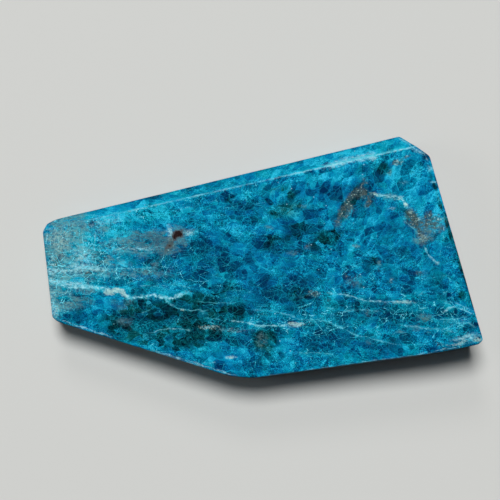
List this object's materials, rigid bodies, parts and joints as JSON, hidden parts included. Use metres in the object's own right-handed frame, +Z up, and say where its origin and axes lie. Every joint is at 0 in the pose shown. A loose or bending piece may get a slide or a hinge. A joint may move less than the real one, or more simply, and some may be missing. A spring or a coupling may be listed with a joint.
{
  "type": "blue apatite slab",
  "caption": "Polished freeform slab of blue apatite with a wide bevel along its far edge, lying on its flat underside.",
  "frame": {"origin": "on the ground under the middle of the slab's bounding box, in the plane of the flat underside", "axes": "+X along the slab towards its wide, thick end; +Y across the slab towards the edge with the wide bevel; +Z up, out of the polished top face"},
  "size_m": [0.0776, 0.0452, 0.0104],
  "materials": {
    "polished_apatite": "gloss"
  },
  "bodies": {
    "root": {"apatite_slab": "polished_apatite"}
  },
  "joints": []
}
